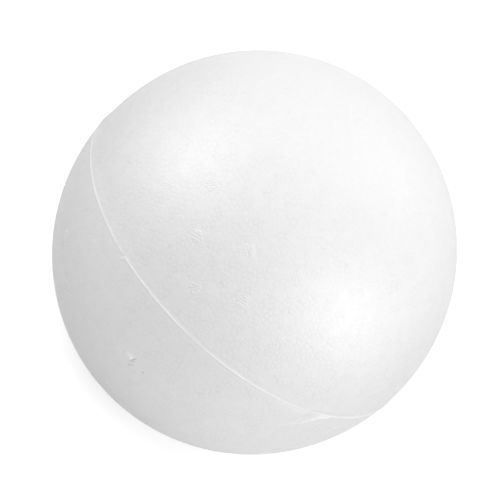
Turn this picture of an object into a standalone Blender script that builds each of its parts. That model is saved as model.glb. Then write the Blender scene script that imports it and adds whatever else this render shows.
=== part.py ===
"""A moulded polystyrene foam ball, in one solid piece.

Metres, with +Z up along the axis on which the mould opened. The origin is the middle of the
parting plane, where the two halves of the mould met and left a thin flash round the ball.
"""

import math

import bmesh
import bpy
from mathutils import Matrix, Vector

# The ball
BALL_DIAMETER = 0.200
POLE_EXTRA = 0.0020
SEGMENTS_AROUND = 72
SEGMENTS_PER_HALF = 18

# The lower half of the mould: a little larger all round, and slipped sideways
LOWER_OVERSIZE = 0.00025
LOWER_SLIP = 0.00025

# The flash along the parting plane
FLASH_REACH = 0.00030
FLASH_WIDTH = 0.0011

# The nub left where the mould was filled, below the parting plane
NUB_DIAMETER = 0.0046
NUB_TIP_DIAMETER = 0.0024
NUB_HEIGHT = 0.0009
NUB_ROOT = 0.0012
NUB_SIDES = 16
NUB_LATITUDE = math.radians(-19.7)
NUB_LONGITUDE = math.radians(-93.7)

# The foam
FOAM_COLOUR = (0.86, 0.86, 0.86, 1.0)
FOAM_ROUGHNESS = 0.42

BALL_RADIUS = BALL_DIAMETER / 2
POLE_HEIGHT = BALL_RADIUS + POLE_EXTRA
LOWER_RADIUS = BALL_RADIUS + LOWER_OVERSIZE
LOWER_DEPTH = POLE_HEIGHT + LOWER_OVERSIZE


def clear_scene():
    for thing in list(bpy.data.objects):
        bpy.data.objects.remove(thing)


def new_collection(name):
    collection = bpy.data.collections.new(name)
    bpy.context.scene.collection.children.link(collection)
    return collection


def make_helper(thing):
    """Keeps a body that a Boolean joins on out of the render and shows it as wires."""
    thing.hide_render = True
    thing.display_type = "WIRE"


def foam_material():
    material = bpy.data.materials.new("foam")
    material.use_nodes = True
    shader = material.node_tree.nodes["Principled BSDF"]
    shader.inputs["Base Color"].default_value = FOAM_COLOUR
    shader.inputs["Roughness"].default_value = FOAM_ROUGHNESS
    shader.inputs["Metallic"].default_value = 0.0
    return material


def turned(name, profile, collection):
    """A closed body of revolution from (radius, height) points that run down its outer side."""
    mesh = bpy.data.meshes.new(name)
    points = [(radius, 0.0, height) for radius, height in profile]
    edges = [(i, i + 1) for i in range(len(points) - 1)]
    mesh.from_pydata(points, edges, [])
    body = bpy.data.objects.new(name, mesh)
    collection.objects.link(body)
    screw = body.modifiers.new("turn", "SCREW")
    screw.axis = "Z"
    screw.steps = SEGMENTS_AROUND
    screw.render_steps = SEGMENTS_AROUND
    screw.use_smooth_shade = True
    screw.use_merge_vertices = True
    screw.merge_threshold = 0.00001
    return body


def half_arc(radius, height):
    """Points of a quarter ellipse from the pole to the parting plane, without its last point."""
    steps = [math.pi / 2 * i / SEGMENTS_PER_HALF for i in range(SEGMENTS_PER_HALF)]
    return [(radius * math.sin(a), height * math.cos(a)) for a in steps]


def upper_half(collection):
    """The upper dome, with a tapered foot that sinks into the lower half by the flash's width."""
    profile = half_arc(BALL_RADIUS, POLE_HEIGHT)
    profile.append((BALL_RADIUS, 0.0))
    profile.append((BALL_RADIUS - FLASH_WIDTH, -FLASH_WIDTH))
    profile.append((0.0, -FLASH_WIDTH))
    return turned("ball", profile, collection)


def lower_half(collection):
    """The lower dome with the flash on its rim, slipped sideways by the misfit of the mould."""
    flash_half = FLASH_WIDTH / 2
    profile = [(0.0, flash_half), (BALL_RADIUS - FLASH_WIDTH, flash_half)]
    profile.append((LOWER_RADIUS + FLASH_REACH, 0.0))
    profile.append((LOWER_RADIUS, -flash_half))
    arc = half_arc(LOWER_RADIUS, LOWER_DEPTH)
    profile += [(radius, -height) for radius, height in reversed(arc)]
    body = turned("lower_half", profile, collection)
    body.location.x = -LOWER_SLIP
    make_helper(body)
    return body


def skin_frame(latitude, longitude):
    """A matrix with its origin on the ball's skin and its Z axis along the skin's normal."""
    below = latitude < 0
    radius = LOWER_RADIUS if below else BALL_RADIUS
    height = LOWER_DEPTH if below else POLE_HEIGHT
    ring = radius * math.cos(latitude)
    point = Vector((ring * math.cos(longitude), ring * math.sin(longitude), height * math.sin(latitude)))
    normal = Vector((point.x / radius**2, point.y / radius**2, point.z / height**2)).normalized()
    if below:
        point.x -= LOWER_SLIP
    turn = normal.to_track_quat("Z", "Y").to_matrix().to_4x4()
    return Matrix.Translation(point) @ turn


def fill_nub(collection):
    """A low tapered stud, rooted under the skin."""
    shapes = bmesh.new()
    middle = (NUB_HEIGHT - NUB_ROOT) / 2
    place = skin_frame(NUB_LATITUDE, NUB_LONGITUDE) @ Matrix.Translation((0.0, 0.0, middle))
    bmesh.ops.create_cone(
        shapes,
        cap_ends=True,
        segments=NUB_SIDES,
        radius1=NUB_DIAMETER / 2,
        radius2=NUB_TIP_DIAMETER / 2,
        depth=NUB_HEIGHT + NUB_ROOT,
        matrix=place,
    )
    mesh = bpy.data.meshes.new("fill_nub")
    shapes.to_mesh(mesh)
    shapes.free()
    nub = bpy.data.objects.new("fill_nub", mesh)
    collection.objects.link(nub)
    make_helper(nub)
    return nub


def join(body, other):
    boolean = body.modifiers.new(other.name, "BOOLEAN")
    boolean.operation = "UNION"
    boolean.solver = "EXACT"
    boolean.object = other


def build():
    clear_scene()
    parts = new_collection("polystyrene_ball")
    helpers = new_collection("helpers")
    ball = upper_half(parts)
    join(ball, lower_half(helpers))
    join(ball, fill_nub(helpers))
    ball.data.materials.append(foam_material())


build()
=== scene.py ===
"""The looks of a moulded polystyrene foam ball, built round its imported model.

Metres, in the model's own frame: the origin is the middle of the parting plane, and +Z is the axis
on which the mould opened. A place on the ball is a latitude above the parting plane and an azimuth,
which is 0 towards the camera (-Y) and 90 towards +X, both in degrees.
"""

import math

import bmesh
import bpy
import numpy as np
from mathutils import Matrix, Vector
from mathutils.geometry import delaunay_2d_cdt


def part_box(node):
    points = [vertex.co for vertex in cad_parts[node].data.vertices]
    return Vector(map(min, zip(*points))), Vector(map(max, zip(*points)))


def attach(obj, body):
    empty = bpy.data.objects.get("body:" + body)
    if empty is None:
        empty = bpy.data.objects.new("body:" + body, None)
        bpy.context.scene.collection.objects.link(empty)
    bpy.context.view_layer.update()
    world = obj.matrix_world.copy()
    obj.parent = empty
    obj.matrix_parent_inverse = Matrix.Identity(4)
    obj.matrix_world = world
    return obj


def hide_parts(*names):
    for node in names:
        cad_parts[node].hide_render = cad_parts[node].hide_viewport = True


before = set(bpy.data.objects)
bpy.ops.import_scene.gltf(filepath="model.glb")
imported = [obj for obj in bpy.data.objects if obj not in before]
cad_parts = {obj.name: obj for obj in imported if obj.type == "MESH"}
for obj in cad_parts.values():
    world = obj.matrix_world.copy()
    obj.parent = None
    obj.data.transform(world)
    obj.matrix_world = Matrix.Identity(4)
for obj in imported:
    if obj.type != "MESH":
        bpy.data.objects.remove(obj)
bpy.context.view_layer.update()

# The ball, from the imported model: its halves, and the flash that stands on the lower one
FLASH_REACH = 0.00030
LOW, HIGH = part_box("ball")
UPPER_HEIGHT = HIGH.z
OVERSIZE = -LOW.z - HIGH.z
SLIP = -(LOW.x + HIGH.x) / 2
BALL_RADIUS = HIGH.y - FLASH_REACH - OVERSIZE

# The camera, as the photograph was taken
PHOTO_SIDE = 500
CAMERA_DISTANCE = 7.0 * BALL_RADIUS
CAMERA_ELEVATION = 27.4
CAMERA_ROLL = 45.4
FOCAL_PIXELS = 1390.4
CENTRE_PIXEL = (254.83, 252.54)
SENSOR_WIDTH = 36.0

# Shared by the grids of seeds: the spacing of a hexagonal grid's rows, as a share of its pitch,
# and the cosine within which two directions count as near
SEED = 20
ROW_SPACING = 0.866
NEAR_COSINE = 0.9

# The foam's surface: beads, flattened by the mould and slightly crowned. Shakes and clearances
# here and below are shares of the pitch or step that they go with, unless they say otherwise.
BEAD_PITCH = 0.00255
BEAD_SHAKE = 0.38
BEAD_CLEARANCE = 0.45
BEAD_DOME = 0.000031
BEAD_DOME_SPREAD = 0.5
CORNER_SPREAD = 0.000012
PINHOLE_SHARE = 0.03
PINHOLE_DEPTH = 0.00006
PINHOLE_SPREAD = (0.6, 1.3)
RELAXING_ROUNDS = 1
WELD_DISTANCE = 0.00012

# Towards the upper pole the beads are fused flatter and show less
FADING_FROM, FADING_TO = 0.064, 0.088
FADED = 0.25

# The flash: cells in rows beside the parting plane. Along its length it stands out more or less,
# and carries more or less painted light: a painted glow where the thin flash would let light through,
# and painted shade at its gaps. Rows of azimuth, reach and painted light.
FLASH_HALF_WIDTH = 0.00052
FLASH_STEP = 0.00125
FLASH_SHAKE = 0.15
FLASH_CLEARANCE_METRES = 0.0006
FLASH_PAINTED_GLOW = 0.11
FLASH_ALONG = (
    (-180.0, 0.8, 0.6),
    (-120.0, 0.9, 0.8),
    (-67.0, 1.1, 1.3),
    (-42.0, 1.0, 1.1),
    (-38.0, 0.7, 0.7),
    (-27.4, 0.7, 0.6),
    (-26.8, 0.1, -0.2),
    (-26.1, 0.7, 0.7),
    (-24.2, 0.7, 0.7),
    (-23.7, 0.0, -0.6),
    (-23.0, 0.0, -0.6),
    (-22.6, 1.0, 1.2),
    (-17.0, 1.0, 1.1),
    (-12.0, 1.2, 1.4),
    (-3.0, 1.3, 1.4),
    (1.0, 1.1, 1.1),
    (5.0, 0.8, 0.5),
    (7.5, 0.8, 0.5),
    (9.0, 1.2, 1.4),
    (22.0, 1.0, 1.1),
    (27.0, 0.7, 0.6),
    (38.0, 0.6, 0.5),
    (46.0, 0.5, 0.4),
    (49.5, 1.3, 1.4),
    (63.0, 1.6, 1.4),
    (80.0, 1.2, 1.2),
    (120.0, 0.7, 0.8),
    (180.0, 0.8, 0.6),
)
FLASH_UNEVEN = 0.25
FLASH_WAVE_COUNT = 200

# How far up the skin the step from the larger lower half to the upper half is spread
LEDGE_WIDTH = 0.0050

# The vent marks: a low round plateau with a grid of small studs, inside a fine groove
VENT_RADIUS = 0.0030
VENT_PITCH = 0.00125
VENT_GRID_RADIUS = 0.0026
VENT_COLLAR = (0.0034, 16)
VENT_CLEARANCE_METRES = 0.0009
VENT_STUD_HEIGHT = 0.00030
# Painted highlight on the studs and round the edge of the grid, and painted shade in the gaps between
# the studs
VENT_STUD_PAINTED_HIGHLIGHT = 0.05
VENT_GAP_PAINTED_SHADE = -0.015
VENT_RIM_PAINTED_HIGHLIGHT = 0.015
VENT_PLATEAU = 0.00006
VENT_EDGE = 0.0003
VENT_RIM_DEPTH = 0.00008
VENT_RIM_WIDTH = 0.0002
VENT_RIM_REACH = 1.25

# Where the fainter vents lie, in degrees: their spacing, their turn about the axis, how far they
# are shaken, and how far they keep from the vents seen and from the flash
VENT_SPACING = 15.0
VENT_TURN = 4.0
VENT_SHAKE = 0.8
VENT_CLEAR = 9.0
VENT_OFF_FLASH = 4
VENT_FAINTEST = 0.10
VENT_FAINT = 0.35
SEEN_VENTS = (
    # latitude, azimuth, strength
    (29.1, -23.2, 1.0),
    (18.9, -13.8, 1.0),
    (9.9, -4.1, 1.2),
    (16.0, 6.8, 1.0),
    (26.2, -1.4, 0.9),
    (29.7, 13.3, 0.5),
    (13.8, 20.3, 0.6),
    (19.4, -32.9, 0.4),
    (7.9, -23.7, 0.4),
    (35.3, -7.7, 0.3),
    (40.4, 6.0, 0.3),
    (28.4, 26.1, 0.35),
    (35.6, 28.0, 0.3),
    (12.6, 60.3, 0.4),
    (-16.9, -44.6, 1.5),
    (-26.4, -34.6, 1.5),
    (-17.5, 34.0, 0.6),
    (-16.8, 47.0, 0.3),
    (-5.8, 57.6, 0.3),
    (-30.7, 44.2, 0.3),
    (-21.4, 53.7, 0.3),
)

# The fill mark below the parting plane: a wedge-shaped tongue that climbs towards the east
PATCH_STEP = 0.00048
PATCH_SHAKE = 0.02
PATCH_CLEARANCE = 0.8
NUB_PATCH = (0.0036, 0.0026)
NUB_PLACE = (-19.6, -4.0)
NUB_HEIGHT = 0.0010
NUB_START, NUB_CREST, NUB_END = -0.0024, 0.0016, 0.0021
NUB_HALF_WIDTH = 0.0021

# Lines on the skin, each a height, a half width, a painted light and the places it runs through:
# a painted highlight on the raised lines and painted shade in the sunken ones.
# Their seeds are spaced by a share of the patch step, and their points by the line step.
RIBBON_STEP = 1.3
LINE_STEP = 0.0002
LINES = (
    # the second flash, which leaves the first at the right and gets finer
    (0.00030, 0.00120, 0.15, ((-0.6, 51.6), (-1.6, 48.7), (-2.6, 47.3))),
    (0.00032, 0.00095, 0.14, ((-2.6, 47.3), (-4.7, 45.5))),
    (0.00018, 0.00060, 0.05, ((-5.6, 44.0), (-8.1, 40.7))),
    # the web that fills the narrow end between the two
    (0.00015, 0.00150, 0.12, ((-0.7, 48.4), (-0.5, 50.6), (-0.4, 51.8))),
    (0.00008, 0.00100, 0.05, ((-1.0, 46.6), (-0.8, 48.4))),
    # slits between the two, further along, with painted shade in them
    (-0.00018, 0.00060, -0.09, ((-5.1, 41.1), (-3.8, 42.8))),
    (-0.00018, 0.00060, -0.09, ((-2.4, 43.3), (-1.2, 45.2))),
    # the dark upper edge of the first flash, above the second: a groove with painted shade in it
    (-0.00010, 0.00080, -0.08, ((0.5, 44.6), (0.8, 50.5), (1.2, 60.2))),
    # the short step in the flash, at the left
    (0.00030, 0.00060, 0.15, ((-1.1, -23.2), (0.1, -22.6))),
    # the soft lower side of the first flash, before the second leaves it
    (0.00012, 0.00160, 0.05, ((-0.6, 32.6), (-0.8, 36.0), (-1.0, 39.0), (-0.9, 42.8))),
    # creases past the high end of the fill mark, with painted shade in them
    (-0.00050, 0.00060, -0.28, ((-19.9, -2.6), (-18.5, -1.9))),
    (-0.00050, 0.00060, -0.28, ((-21.0, -3.2), (-20.0, -1.9))),
    (-0.00030, 0.00060, -0.22, ((-22.6, -2.6), (-21.2, -1.4))),
    # scuffs at the right
    (0.00012, 0.00040, 0.03, ((12.1, 79.7), (17.0, 87.5))),
    (0.00012, 0.00040, 0.03, ((14.7, 74.4), (19.5, 87.4))),
    (0.00010, 0.00040, 0.02, ((10.1, 58.6), (11.8, 63.1))),
    (0.00035, 0.00090, 0.09, ((-7.5, 58.8), (-5.8, 58.5))),
    (0.00035, 0.00080, 0.12, ((-5.4, 58.9), (-5.2, 60.2))),
)

# Rings on the skin: a height, a half width, a painted light, a place and a radius: painted shade in
# the sunken rings and a painted highlight on the raised one
RINGS = (
    (-0.00005, 0.00040, -0.02, (-20.3, -3.3), 0.0045),
    (-0.00005, 0.00040, -0.02, (28.5, 0.9), 0.0029),
    (-0.00005, 0.00040, -0.02, (27.1, 2.5), 0.0018),
    (0.00006, 0.00050, 0.03, (12.7, -1.0), 0.0018),
)

# Small pits and grains: a height, a radius, a painted light and a place: painted shade in the pits
# and a painted highlight on the grains. Each has a patch of close seeds, so many radii across to each
# side.
SPOT_PATCH = 2.2
SPOTS = (
    (-0.00045, 0.0006, -0.30, (-20.4, 2.1)),
    (-0.00015, 0.0006, -0.05, (-18.1, 13.3)),
    (-0.00020, 0.0005, -0.08, (-20.2, -5.7)),
    (-0.00015, 0.0005, -0.06, (-18.4, -7.9)),
    (0.00018, 0.0006, 0.05, (8.5, -9.4)),
    (-0.00010, 0.0006, -0.04, (10.6, -7.5)),
    (0.00012, 0.0006, 0.03, (-23.8, 2.1)),
    (0.00012, 0.0006, 0.03, (-23.9, 5.4)),
    (0.00012, 0.0006, 0.03, (-24.8, 7.5)),
    (0.00010, 0.0006, 0.03, (-23.8, 9.9)),
    (0.00012, 0.0006, 0.03, (-28.2, 3.9)),
    (0.00015, 0.0006, 0.03, (-7.9, 63.5)),
)

# The painted highlight on the fill mark, the painted shade in corners as deep as PIT_DEEP, and the most
# painted light that the marks add up to
NUB_PAINTED_HIGHLIGHT = 0.07
PIT_PAINTED_SHADE = -0.14
PIT_DEEP = 0.0003
MOST_PAINTED_LIGHT = 0.15

# The foam's colour, and what varies it, as shares of its brightness: each bead's tone, clouds,
# mottling, a soft painted shade that starts part of the way to a bead's edge, and painted shade in the
# groove at the edge
FOAM_BRIGHTNESS = 0.86
TONE_LOW, TONE_HIGH = 0.997, 1.005
CLOUD_SHADE = 0.005
MOTTLE_SHADE = 0.010
SOFT_PAINTED_SHADE, SOFT_FROM = -0.018, 0.2
GROOVE_PAINTED_SHADE, GROOVE_FROM = -0.006, 0.85

# The beads' edges, with their painted shade, show unevenly, by a noise that goes from the weakest to the
# strongest
PATCHY_FROM, PATCHY_TO = 0.35, 0.65
PATCHY_LOW, PATCHY_HIGH = 0.3, 1.7

# The scales of the noises, per metre, and the range over which the others are read
GRAIN_SCALE, MOTTLE_SCALE, PATCHY_SCALE, CLOUD_SCALE = 1050.0, 480.0, 170.0, 28.0
NOISE_LOW, NOISE_HIGH = 0.3, 0.7

# The foam's gloss and grain: rougher in the grooves and where it is seen at a grazing angle
FOAM_ROUGHNESS = 0.50
GRAIN_ROUGHNESS = 0.06
GROOVE_ROUGHNESS = 0.10
GRAZING_ROUGHNESS = 0.48
GRAZING_FROM, GRAZING_TO = 0.34, 0.70
BUMP_DISTANCE = 0.0001
SOFT_SINK = 0.20

# The studio: a pale floor, white far from the ball, and lamps at an even level all round
FLOOR_HEIGHT = LOW.z
FLOOR_RADIUS = 12.0
FLOOR_COLOUR = (0.72, 0.72, 0.72, 1.0)
FLOOR_GLOW_NEAR = 0.66
FLOOR_GLOW_FROM, FLOOR_GLOW_TO = 0.4, 2.0
AMBIENT = 0.0
LAMPS = (
    # name, azimuth, elevation, distance, side, watts, whether it only glints
    ("front_sheet", 0.0, 55.0, 1.8, 1.4, 10.6, False),
    ("front_low_sheet", 30.0, 5.0, 1.8, 1.4, 12.9, False),
    ("left_sheet", -90.0, 50.0, 1.8, 1.4, 12.0, False),
    ("left_low_sheet", -90.0, 5.0, 1.8, 1.4, 9.4, False),
    ("right_sheet", 90.0, 5.0, 1.8, 1.4, 14.4, False),
    ("back_sheet", 150.0, 60.0, 1.8, 1.4, 8.9, False),
    ("back_low_sheet", 180.0, 20.0, 1.8, 1.4, 3.7, False),
    ("top_softbox", -20.0, 85.0, 1.2, 0.6, 2.5, False),
    ("left_glint", -62.5, 21.0, 1.2, 0.6, 12.0, True),
    ("right_glint", 57.0, 22.0, 1.2, 0.6, 14.1, True),
)

rng = np.random.default_rng(SEED)
FLASH_WAVES = rng.uniform(-1, 1, FLASH_WAVE_COUNT)


def direction(latitude, azimuth):
    """The unit vector towards a latitude and azimuth in degrees, for numbers or arrays."""
    lat, az = np.broadcast_arrays(np.radians(latitude), np.radians(azimuth))
    return np.stack([np.cos(lat) * np.sin(az), -np.cos(lat) * np.cos(az), np.sin(lat)], -1)


def unit(vectors):
    return vectors / np.linalg.norm(vectors, axis=-1, keepdims=True)


def east_north(directions):
    """Tangents to the unit sphere: towards growing azimuth, and towards the upper pole."""
    east = np.cross([0.0, 0.0, 1.0], directions)
    pole_nudge = [1e-12, 0.0, 0.0]
    east = unit(east + pole_nudge)
    return east, np.cross(directions, east)


def around(centre, east, north):
    """Unit directions at distances east and north, in metres along the skin, of a centre."""
    e, n = east_north(centre)
    steps = (np.outer(east, e) + np.outer(north, n)) / BALL_RADIUS
    return unit(centre + steps)


def local(centre, directions):
    """Metres east and north of a centre for unit directions, and which are near it."""
    e, n = east_north(centre)
    away = directions - centre
    return away @ e * BALL_RADIUS, away @ n * BALL_RADIUS, directions @ centre > NEAR_COSINE


def free_seeds():
    """An even spiral over the sphere, shaken so that the beads come out uneven."""
    count = int(4 * math.pi / (ROW_SPACING * (BEAD_PITCH / BALL_RADIUS) ** 2))
    height = 1 - 2 * (np.arange(count) + 0.5) / count
    turn = math.pi * (1 + math.sqrt(5)) * np.arange(count)
    ring = np.sqrt(1 - height**2)
    points = np.stack([ring * np.cos(turn), ring * np.sin(turn), height], 1)
    shake = rng.normal(0.0, BEAD_SHAKE * BEAD_PITCH / BALL_RADIUS, points.shape)
    return unit(points + shake)


def flash_seeds():
    """Two rows of seeds on each side of the parting plane, so that cell edges run along it."""
    count = round(2 * math.pi * BALL_RADIUS / FLASH_STEP)
    shake = rng.uniform(-FLASH_SHAKE, FLASH_SHAKE, count)
    azimuth = 360 * (np.arange(count) + shake) / count
    rows = []
    for height in (0.5, 1.5):
        latitude = math.degrees(height * FLASH_HALF_WIDTH / BALL_RADIUS)
        rows += [direction(latitude, azimuth), direction(-latitude, azimuth)]
    return np.concatenate(rows)


def vent_places():
    """The vents that the photograph shows, and fainter ones in rings over the rest of the ball."""
    places = list(SEEN_VENTS)
    seen = np.array([direction(lat, az) for lat, az, _ in SEEN_VENTS])
    rings = round(180 / (VENT_SPACING * ROW_SPACING))
    for ring in range(rings):
        latitude = -90 + 180 * (ring + 0.5) / rings
        count = max(3, round(360 * math.cos(math.radians(latitude)) / VENT_SPACING))
        for i in range(count):
            azimuth = 360 * (i + 0.5 * (ring % 2)) / count - VENT_TURN
            lat = latitude + rng.uniform(-VENT_SHAKE, VENT_SHAKE)
            az = azimuth + rng.uniform(-VENT_SHAKE, VENT_SHAKE)
            strength = rng.uniform(VENT_FAINTEST, VENT_FAINT)
            nearest = (seen @ direction(lat, az)).max()
            if nearest < math.cos(math.radians(VENT_CLEAR)) and abs(lat) > VENT_OFF_FLASH:
                places.append((lat, az, strength))
    return places


def vent_seeds(place):
    """A square grid of seeds, turned at random, with a collar of seeds round it."""
    spin = rng.uniform(0, math.pi / 2)
    steps = np.arange(-3, 4) * VENT_PITCH
    across, up = (values.ravel() for values in np.meshgrid(steps, steps))
    inside = np.hypot(across, up) < VENT_GRID_RADIUS
    across, up = across[inside], up[inside]
    radius, count = VENT_COLLAR
    angle = 2 * math.pi * np.arange(count) / count
    east = math.cos(spin) * across - math.sin(spin) * up
    north = math.sin(spin) * across + math.cos(spin) * up
    east = np.append(east, radius * np.cos(angle))
    north = np.append(north, radius * np.sin(angle))
    return around(direction(place[0], place[1]), east, north)


def patch_seeds(centre, half_east, half_north):
    """A fine hexagonal grid, for small forms that a bead's own corners can't follow."""
    rows = int(half_north / (PATCH_STEP * ROW_SPACING)) + 1
    east, north = [], []
    for row in range(-rows, rows + 1):
        columns = int(half_east / PATCH_STEP) + 1
        for column in range(-columns, columns + 1):
            e = (column + 0.5 * (row % 2)) * PATCH_STEP
            n = row * PATCH_STEP * ROW_SPACING
            if (e / half_east) ** 2 + (n / half_north) ** 2 < 1.0:
                east.append(e + rng.uniform(-PATCH_SHAKE, PATCH_SHAKE) * PATCH_STEP)
                north.append(n + rng.uniform(-PATCH_SHAKE, PATCH_SHAKE) * PATCH_STEP)
    return around(centre, east, north)


def along(places, step):
    """Unit directions spaced evenly along a line through (latitude, azimuth) places."""
    corners = np.array([direction(lat, az) for lat, az in places])
    lengths = np.linalg.norm(np.diff(corners, axis=0), axis=1) * BALL_RADIUS
    run = np.append(0.0, np.cumsum(lengths))
    stations = np.arange(0.5 * step, run[-1], step)
    line = np.stack([np.interp(stations, run, corners[:, k]) for k in range(3)], 1)
    return unit(line)


def ring_line(place, radius, step):
    """Unit directions spaced evenly round a circle on the skin."""
    count = max(8, round(2 * math.pi * radius / step))
    angle = 2 * math.pi * np.arange(count) / count
    return around(direction(*place), radius * np.cos(angle), radius * np.sin(angle))


def lines_on_skin(step):
    """Each line and ring as its height, half width, painted light and points."""
    found = [(height, width, pale, along(places, step)) for height, width, pale, places in LINES]
    for height, width, pale, place, radius in RINGS:
        found.append((height, width, pale, ring_line(place, radius, step)))
    return found


def ribbon_seeds(line, half_width):
    """Seeds in three rows along a line on the skin."""
    side = unit(np.cross(line, np.gradient(line, axis=0)))
    rows = [unit(line + side * offset * half_width / BALL_RADIUS) for offset in (-1, 0, 1)]
    return np.concatenate(rows)


def thinned(points, keep_clear, clearance):
    """The points that lie further than a clearance, in metres, from all of keep_clear."""
    least = math.cos(clearance / BALL_RADIUS)
    kept = np.ones(len(points), bool)
    for block in np.array_split(np.arange(len(points)), 40):
        kept[block] = (points[block] @ keep_clear.T).max(1) < least
    return points[kept]


def delaunay(points):
    """Triangles between points of the unit sphere, the last of which is the lower pole.

    Seen from that pole on a plane, circles stay circles, so a flat triangulation of the others
    serves. The pole is then joined to its rim.
    """
    flat = points[:-1, :2] / (1.0 + points[:-1, 2:])
    faces = np.array(delaunay_2d_cdt([Vector(p) for p in flat], [], [], 0, 1e-9, False)[2])
    edges = np.concatenate([faces[:, [0, 1]], faces[:, [1, 2]], faces[:, [2, 0]]])
    count = len(points)
    forward = edges[:, 0] * count + edges[:, 1]
    backward = edges[:, 1] * count + edges[:, 0]
    rim = edges[~np.isin(forward, backward)]
    pole = np.full((len(rim), 1), count - 1)
    return np.concatenate([faces, np.hstack([rim[:, ::-1], pole])])


def cell_corners(points, faces):
    """The point that is equally far from the three ends of each triangle."""
    a, b, c = (points[faces[:, k]] for k in range(3))
    return unit(np.cross(b - a, c - a))


def cell_fans(points, faces, corners):
    """Rows of (seed, corner, next corner) that go round each seed's cell."""
    seed = faces.ravel()
    corner = np.repeat(np.arange(len(faces)), 3)
    east, north = east_north(points)
    away = corners[corner] - points[seed]
    angle = np.arctan2((away * north[seed]).sum(1), (away * east[seed]).sum(1))
    order = np.lexsort((angle, seed))
    seed, corner = seed[order], corner[order]
    first = np.searchsorted(seed, np.arange(len(points)))
    last = np.append(first[1:], len(seed)) - 1
    after = np.arange(1, len(seed) + 1)
    after[last] = first
    return np.stack([seed, corner, corner[after]], 1)


def relaxed(free, fixed):
    """Moves the free seeds towards the middles of their cells, round the fixed ones."""
    for _ in range(RELAXING_ROUNDS):
        points = np.concatenate([free, fixed])
        faces = delaunay(points)
        corners = cell_corners(points, faces)
        total = np.zeros_like(points)
        np.add.at(total, faces.ravel(), np.repeat(corners, 3, axis=0))
        free = unit(total[: len(free)])
    return free


def nearest_of(directions, centres):
    """For each direction the index of its nearest centre, and the distance in metres."""
    index = np.empty(len(directions), int)
    distance = np.empty(len(directions))
    for block in np.array_split(np.arange(len(directions)), 40):
        cosine = directions[block] @ centres.T
        index[block] = cosine.argmax(1)
        distance[block] = np.arccos(np.clip(cosine.max(1), -1, 1)) * BALL_RADIUS
    return index, distance


def flash_share(directions):
    """How far the flash stands out, and its painted glow and painted shade, at each direction."""
    azimuth = np.degrees(np.arctan2(directions[:, 0], -directions[:, 1]))
    places, reach, painted_lightness = zip(*FLASH_ALONG)
    height = np.abs(directions[:, 2]) * BALL_RADIUS
    profile = np.clip(1 - height / FLASH_HALF_WIDTH, 0, 1)
    steps = np.linspace(-180.0, 180.0, len(FLASH_WAVES))
    uneven = 1 + FLASH_UNEVEN * np.interp(azimuth, steps, FLASH_WAVES)
    reach = profile * uneven * np.interp(azimuth, places, reach)
    return reach, profile * uneven * np.interp(azimuth, places, painted_lightness)


def nub_profile(directions):
    """A tongue that climbs towards the east and then drops, as a share of its height."""
    east, north, near = local(direction(*NUB_PLACE), directions)
    profile = np.interp(east, (NUB_START, NUB_CREST, NUB_END), (0.0, 1.0, 0.0))
    return profile * np.clip(1 - (north / NUB_HALF_WIDTH) ** 2, 0, 1) * near


def marks_on_skin(directions):
    """How far the fill mark, the spots and the lines lift the skin, and their painted highlights and
    painted shade.
    """
    nub = nub_profile(directions)
    lift, painted_lightness = NUB_HEIGHT * nub, NUB_PAINTED_HIGHLIGHT * np.minimum(3 * nub, 1)
    for height, radius, pale, place in SPOTS:
        east, north, near = local(direction(*place), directions)
        share = np.exp(-((east**2 + north**2) / radius**2)) * near
        lift += height * share
        painted_lightness += pale * share
    for height, half_width, pale, line in lines_on_skin(LINE_STEP):
        _, distance = nearest_of(directions, line)
        share = np.clip(1 - distance / half_width, 0, 1)
        lift += height * share
        painted_lightness += pale * share
    return lift, painted_lightness


def vent_lift(directions, places):
    """A low plateau under each vent mark, and a fine groove round it."""
    centres = np.array([direction(lat, az) for lat, az, _ in places])
    strength = np.array([s for _, _, s in places])
    index, distance = nearest_of(directions, centres)
    plateau = np.clip((VENT_RADIUS - distance) / VENT_EDGE, 0, 1)
    rim = np.exp(-(((distance - VENT_RADIUS) / VENT_RIM_WIDTH) ** 2))
    return strength[index] * (VENT_PLATEAU * plateau - VENT_RIM_DEPTH * rim)


def vent_painted_light(directions, places, stud_end):
    """Painted highlight on the studs, which come first among the directions, painted shade in the
    corners between them, and a painted highlight round the grid.
    """
    centres = np.array([direction(lat, az) for lat, az, _ in places])
    strength = np.array([s for _, _, s in places])
    index, distance = nearest_of(directions, centres)
    dots = np.where(np.arange(len(directions)) < stud_end, VENT_STUD_PAINTED_HIGHLIGHT, VENT_GAP_PAINTED_SHADE)
    inside = distance < VENT_GRID_RADIUS
    rim = (distance >= VENT_GRID_RADIUS) & (distance < VENT_RIM_REACH * VENT_RADIUS)
    return strength[index] * (dots * inside + VENT_RIM_PAINTED_HIGHLIGHT * rim)


def skin(directions, lift):
    """Points of the skin, raised by lift. The lower half is larger all round and slipped."""
    lower = np.clip(1 - directions[:, 2] * BALL_RADIUS / LEDGE_WIDTH, 0, 1)
    radius = BALL_RADIUS + OVERSIZE * lower + lift
    height = UPPER_HEIGHT + OVERSIZE * lower + lift
    points = directions * np.stack([radius, radius, height], 1)
    points[:, 0] -= SLIP * lower
    return points


def small_seeds():
    """Closely spaced seeds at the fill mark, the spots, the lines and the rings."""
    groups = [patch_seeds(direction(*NUB_PLACE), *NUB_PATCH)]
    for _, radius, _, place in SPOTS:
        groups.append(patch_seeds(direction(*place), SPOT_PATCH * radius, SPOT_PATCH * radius))
    for _, half_width, _, line in lines_on_skin(RIBBON_STEP * PATCH_STEP):
        groups.append(ribbon_seeds(line, half_width))
    kept = groups[0]
    for group in groups[1:]:
        kept = np.concatenate([kept, thinned(group, kept, PATCH_CLEARANCE * PATCH_STEP)])
    return kept


def fading(height):
    """How strongly the beads show at a height."""
    return np.interp(height, (FADING_FROM, FADING_TO), (1.0, FADED))


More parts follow.
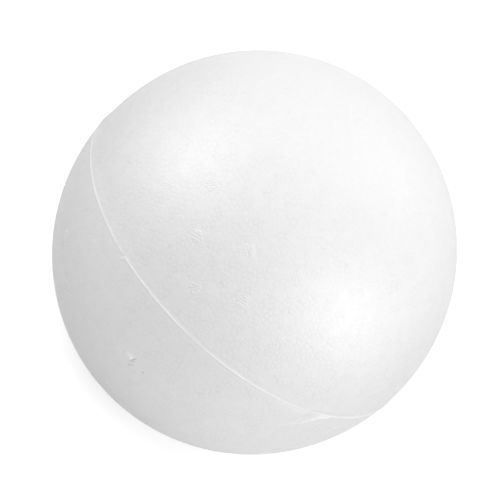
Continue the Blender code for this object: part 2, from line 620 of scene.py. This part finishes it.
def crowns(points, corners, free_count, vents, dot_count):
    """The height of each cell's middle, and of the corners between the cells."""
    crown = np.zeros(len(points) + len(corners))
    spread = rng.uniform(1 - BEAD_DOME_SPREAD, 1 + BEAD_DOME_SPREAD, free_count)
    crown[:free_count] = BEAD_DOME * spread * fading(points[:free_count, 2] * UPPER_HEIGHT)
    dots = slice(free_count, free_count + dot_count)
    centres = np.array([direction(lat, az) for lat, az, _ in vents])
    strength = np.array([s for _, _, s in vents])
    index, distance = nearest_of(points[dots], centres)
    studs = VENT_STUD_HEIGHT * strength[index]
    crown[dots] = np.where(distance < VENT_RADIUS, studs, BEAD_DOME)
    lowered = rng.uniform(-CORNER_SPREAD, CORNER_SPREAD, len(corners))
    hole = rng.uniform(0, 1, len(corners)) < PINHOLE_SHARE
    lowered -= hole * PINHOLE_DEPTH * rng.uniform(*PINHOLE_SPREAD, len(corners))
    crown[len(points) :] = lowered
    return crown


def ball_mesh():
    """The skin as bead cells: a fan of triangles for each, crowned at its middle."""
    vents = vent_places()
    flash = flash_seeds()
    pole = np.array([[0.0, 0.0, -1.0]])
    fine = thinned(small_seeds(), flash, FLASH_CLEARANCE_METRES)
    dots = np.concatenate([vent_seeds(place) for place in vents])
    dots = thinned(dots, np.concatenate([fine, flash, pole]), VENT_CLEARANCE_METRES)
    fixed = np.concatenate([dots, fine, flash, pole])
    free = thinned(free_seeds(), fixed, BEAD_CLEARANCE * BEAD_PITCH)
    free = relaxed(free, fixed)
    points = np.concatenate([free, fixed])
    faces = delaunay(points)
    corners = cell_corners(points, faces)
    fans = cell_fans(points, faces, corners)

    directions = np.concatenate([points, corners])
    reach, painted_lightness = flash_share(directions)
    marks, marks_painted_lightness = marks_on_skin(directions)
    crown = crowns(points, corners, len(free), vents, len(dots))
    crown *= np.clip(np.abs(directions[:, 2]) * BALL_RADIUS / FLASH_HALF_WIDTH, 0, 1)
    lift = FLASH_REACH * reach + marks + vent_lift(directions, vents) + crown
    # The painted light on the skin: a painted glow on the flash, painted highlights and painted shade on
    # the marks, painted shade in the pinholes and at the vents, capped at the most it may add
    shade = FLASH_PAINTED_GLOW * painted_lightness + marks_painted_lightness
    shade += PIT_PAINTED_SHADE * np.clip(-crown / PIT_DEEP, 0, 1)
    shade += vent_painted_light(directions, vents, len(points))
    shade = np.minimum(shade, MOST_PAINTED_LIGHT)

    mesh = bpy.data.meshes.new("foam_ball")
    triangles = np.stack([fans[:, 0], fans[:, 1] + len(points), fans[:, 2] + len(points)], 1)
    mesh.from_pydata(skin(directions, lift), [], triangles)
    beaded = np.arange(len(points)) < len(free) + len(dots)
    rim = beaded[fans[:, 0]].astype(float)
    store(mesh, "bead_edge", "CORNER", np.stack([0 * rim, rim, rim], 1))
    store(mesh, "bead_tone", "FACE", rng.uniform(0, 1, len(points))[fans[:, 0]])
    store(mesh, "painted_light_and_shade", "POINT", shade)
    weld(mesh)
    return mesh


def store(mesh, name, domain, values):
    layer = mesh.attributes.new(name, "FLOAT", domain)
    layer.data.foreach_set("value", values.ravel().astype(np.float32))


def weld(mesh):
    """Closes the tiny gaps between corners that fall together, and creases the beads' edges."""
    shapes = bmesh.new()
    shapes.from_mesh(mesh)
    bmesh.ops.remove_doubles(shapes, verts=shapes.verts, dist=WELD_DISTANCE)
    layer = shapes.loops.layers.float["bead_edge"]
    for face in shapes.faces:
        face.smooth = True
    for edge in shapes.edges:
        loops = [loop for face in edge.link_faces for loop in face.loops if loop.vert in edge.verts]
        edge.smooth = min(loop[layer] for loop in loops) < 0.5
    shapes.to_mesh(mesh)
    shapes.free()


def node(tree, kind, **settings):
    made = tree.nodes.new("ShaderNode" + kind)
    for name, value in settings.items():
        setattr(made, name, value)
    return made


def ranged(tree, source, low, high, to_low, to_high, smooth=False):
    """A value mapped from one range to another."""
    made = node(tree, "MapRange", interpolation_type="SMOOTHSTEP" if smooth else "LINEAR")
    tree.links.new(source, made.inputs["Value"])
    ends = {"From Min": low, "From Max": high, "To Min": to_low, "To Max": to_high}
    for name, value in ends.items():
        made.inputs[name].default_value = value
    return made.outputs["Result"]


def noise(tree, scale, detail):
    made = node(tree, "TexNoise")
    place = node(tree, "TexCoord")
    tree.links.new(place.outputs["Object"], made.inputs["Vector"])
    made.inputs["Scale"].default_value = scale
    made.inputs["Detail"].default_value = detail
    return made.outputs["Fac"]


def math_node(tree, operation, first, second):
    made = node(tree, "Math", operation=operation)
    for socket, value in zip(made.inputs, (first, second)):
        if isinstance(value, float):
            socket.default_value = value
        else:
            tree.links.new(value, socket)
    return made.outputs["Value"]


def attribute(tree, name):
    return node(tree, "Attribute", attribute_name=name).outputs["Fac"]


def foam_material():
    """White satin foam: beads with painted shade towards their edges and in the soft grooves between
    them, so that their middles look palest.
    """
    material = bpy.data.materials.new("bead_foam")
    material.use_nodes = True
    tree = material.node_tree
    shader = tree.nodes["Principled BSDF"]
    edge = attribute(tree, "bead_edge")
    grain = noise(tree, GRAIN_SCALE, 2.0)
    mottle = noise(tree, MOTTLE_SCALE, 2.0)
    up = node(tree, "SeparateXYZ")
    tree.links.new(node(tree, "TexCoord").outputs["Object"], up.inputs[0])
    faded = ranged(tree, up.outputs["Z"], FADING_FROM, FADING_TO, 1.0, FADED)
    blotches = noise(tree, PATCHY_SCALE, 1.0)
    patchy = ranged(tree, blotches, PATCHY_FROM, PATCHY_TO, PATCHY_LOW, PATCHY_HIGH)
    patchy = math_node(tree, "MULTIPLY", patchy, faded)
    soft = math_node(tree, "MULTIPLY", ranged(tree, edge, SOFT_FROM, 1.0, 0.0, 1.0, True), patchy)
    groove = math_node(tree, "MULTIPLY", ranged(tree, edge, GROOVE_FROM, 1.0, 0.0, 1.0, True), patchy)

    shade = ranged(tree, attribute(tree, "bead_tone"), 0, 1, TONE_LOW, TONE_HIGH)
    clouds = noise(tree, CLOUD_SCALE, 2.0)
    clouds = ranged(tree, clouds, NOISE_LOW, NOISE_HIGH, -CLOUD_SHADE, CLOUD_SHADE)
    shade = math_node(tree, "ADD", shade, clouds)
    mottling = ranged(tree, mottle, NOISE_LOW, NOISE_HIGH, -MOTTLE_SHADE, MOTTLE_SHADE)
    shade = math_node(tree, "ADD", shade, mottling)
    # Painted shade towards each bead's edge and in the grooves between the beads
    shade = math_node(tree, "ADD", shade, math_node(tree, "MULTIPLY", soft, SOFT_PAINTED_SHADE))
    shade = math_node(tree, "ADD", shade, math_node(tree, "MULTIPLY", groove, GROOVE_PAINTED_SHADE))
    # The painted light and shade that the mesh carries: the flash's painted glow, and the marks',
    # pinholes' and vents' painted highlights and shade
    shade = math_node(tree, "ADD", shade, attribute(tree, "painted_light_and_shade"))
    tree.links.new(math_node(tree, "MULTIPLY", shade, FOAM_BRIGHTNESS), shader.inputs["Base Color"])

    smoothest, roughest = FOAM_ROUGHNESS - GRAIN_ROUGHNESS, FOAM_ROUGHNESS + GRAIN_ROUGHNESS
    rough = ranged(tree, grain, NOISE_LOW, NOISE_HIGH, smoothest, roughest)
    rough = math_node(tree, "ADD", rough, math_node(tree, "MULTIPLY", groove, GROOVE_ROUGHNESS))
    facing = node(tree, "LayerWeight").outputs["Facing"]
    grazing = ranged(tree, facing, GRAZING_FROM, GRAZING_TO, 0.0, GRAZING_ROUGHNESS, True)
    rough = math_node(tree, "ADD", rough, grazing)
    tree.links.new(rough, shader.inputs["Roughness"])

    height = math_node(tree, "SUBTRACT", grain, math_node(tree, "MULTIPLY", soft, SOFT_SINK))
    bump = node(tree, "Bump")
    bump.inputs["Strength"].default_value = 1.0
    bump.inputs["Distance"].default_value = BUMP_DISTANCE
    tree.links.new(height, bump.inputs["Height"])
    tree.links.new(bump.outputs["Normal"], shader.inputs["Normal"])
    return material


def seen_directly(tree):
    """1 for what the camera sees, straight or through gloss or glass, and 0 for light on the object."""
    path = node(tree, "LightPath")
    seen = math_node(tree, "MAXIMUM", path.outputs["Is Camera Ray"], path.outputs["Is Glossy Ray"])
    return math_node(tree, "MAXIMUM", seen, path.outputs["Is Transmission Ray"])


def floor_material():
    """A pale floor that keeps its shadows, and that whitens away from the ball."""
    material = bpy.data.materials.new("pale_floor")
    material.use_nodes = True
    tree = material.node_tree
    tree.nodes.remove(tree.nodes["Principled BSDF"])
    plain = node(tree, "BsdfDiffuse")
    plain.inputs["Color"].default_value = FLOOR_COLOUR
    place = node(tree, "TexCoord").outputs["Object"]
    far = node(tree, "VectorMath", operation="LENGTH")
    tree.links.new(place, far.inputs[0])
    glow = ranged(tree, far.outputs["Value"], FLOOR_GLOW_FROM, FLOOR_GLOW_TO, FLOOR_GLOW_NEAR, 1.0)
    lit = node(tree, "Emission")
    tree.links.new(math_node(tree, "MULTIPLY", glow, seen_directly(tree)), lit.inputs["Strength"])
    both = node(tree, "AddShader")
    tree.links.new(plain.outputs[0], both.inputs[0])
    tree.links.new(lit.outputs[0], both.inputs[1])
    tree.links.new(both.outputs[0], tree.nodes["Material Output"].inputs["Surface"])
    return material


def make_ball():
    ball = bpy.data.objects.new("foam_ball", ball_mesh())
    bpy.context.scene.collection.objects.link(ball)
    ball.data.materials.append(foam_material())
    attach(ball, "root")
    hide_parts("ball")


def make_floor():
    place = (0.0, 0.0, FLOOR_HEIGHT)
    bpy.ops.mesh.primitive_circle_add(vertices=64, radius=FLOOR_RADIUS, fill_type="NGON", location=place)
    floor = bpy.context.object
    floor.name = "floor"
    floor.data.materials.append(floor_material())


def make_world():
    world = bpy.data.worlds.new("studio")
    bpy.context.scene.world = world
    world.use_nodes = True
    tree = world.node_tree
    back = tree.nodes["Background"]
    back.inputs["Color"].default_value = (1.0, 1.0, 1.0, 1.0)
    strength = ranged(tree, seen_directly(tree), 0, 1, AMBIENT, 1.0)
    tree.links.new(strength, back.inputs["Strength"])


def make_lamps():
    for name, azimuth, elevation, distance, side, watts, glints in LAMPS:
        data = bpy.data.lights.new(name, "AREA")
        data.energy = watts
        data.size = side
        lamp = bpy.data.objects.new(name, data)
        bpy.context.scene.collection.objects.link(lamp)
        towards = Vector(direction(elevation, azimuth))
        lamp.location = towards * distance
        lamp.rotation_euler = towards.to_track_quat("Z", "Y").to_euler()
        lamp.visible_camera = False
        lamp.visible_diffuse = not glints


def make_camera():
    """The photograph's view, turned so that the ball's pole leans to the picture's upper right."""
    data = bpy.data.cameras.new("camera")
    camera = bpy.data.objects.new("camera", data)
    bpy.context.scene.collection.objects.link(camera)
    back = Vector(direction(CAMERA_ELEVATION, 0.0))
    right = Vector((1.0, 0.0, 0.0))
    up = back.cross(right)
    roll = math.radians(CAMERA_ROLL)
    tilted_right = math.cos(roll) * right + math.sin(roll) * up
    tilted_up = math.cos(roll) * up - math.sin(roll) * right
    turn = Matrix((tilted_right, tilted_up, back)).transposed()
    camera.matrix_world = Matrix.Translation(back * CAMERA_DISTANCE) @ turn.to_4x4()
    data.sensor_width = SENSOR_WIDTH
    data.lens = FOCAL_PIXELS / PHOTO_SIDE * SENSOR_WIDTH
    data.shift_x = (PHOTO_SIDE / 2 - CENTRE_PIXEL[0]) / PHOTO_SIDE
    data.shift_y = (CENTRE_PIXEL[1] - PHOTO_SIDE / 2) / PHOTO_SIDE
    bpy.context.scene.camera = camera


make_camera()
make_ball()
make_floor()
make_world()
make_lamps()
bpy.context.scene.view_settings.view_transform = "Standard"
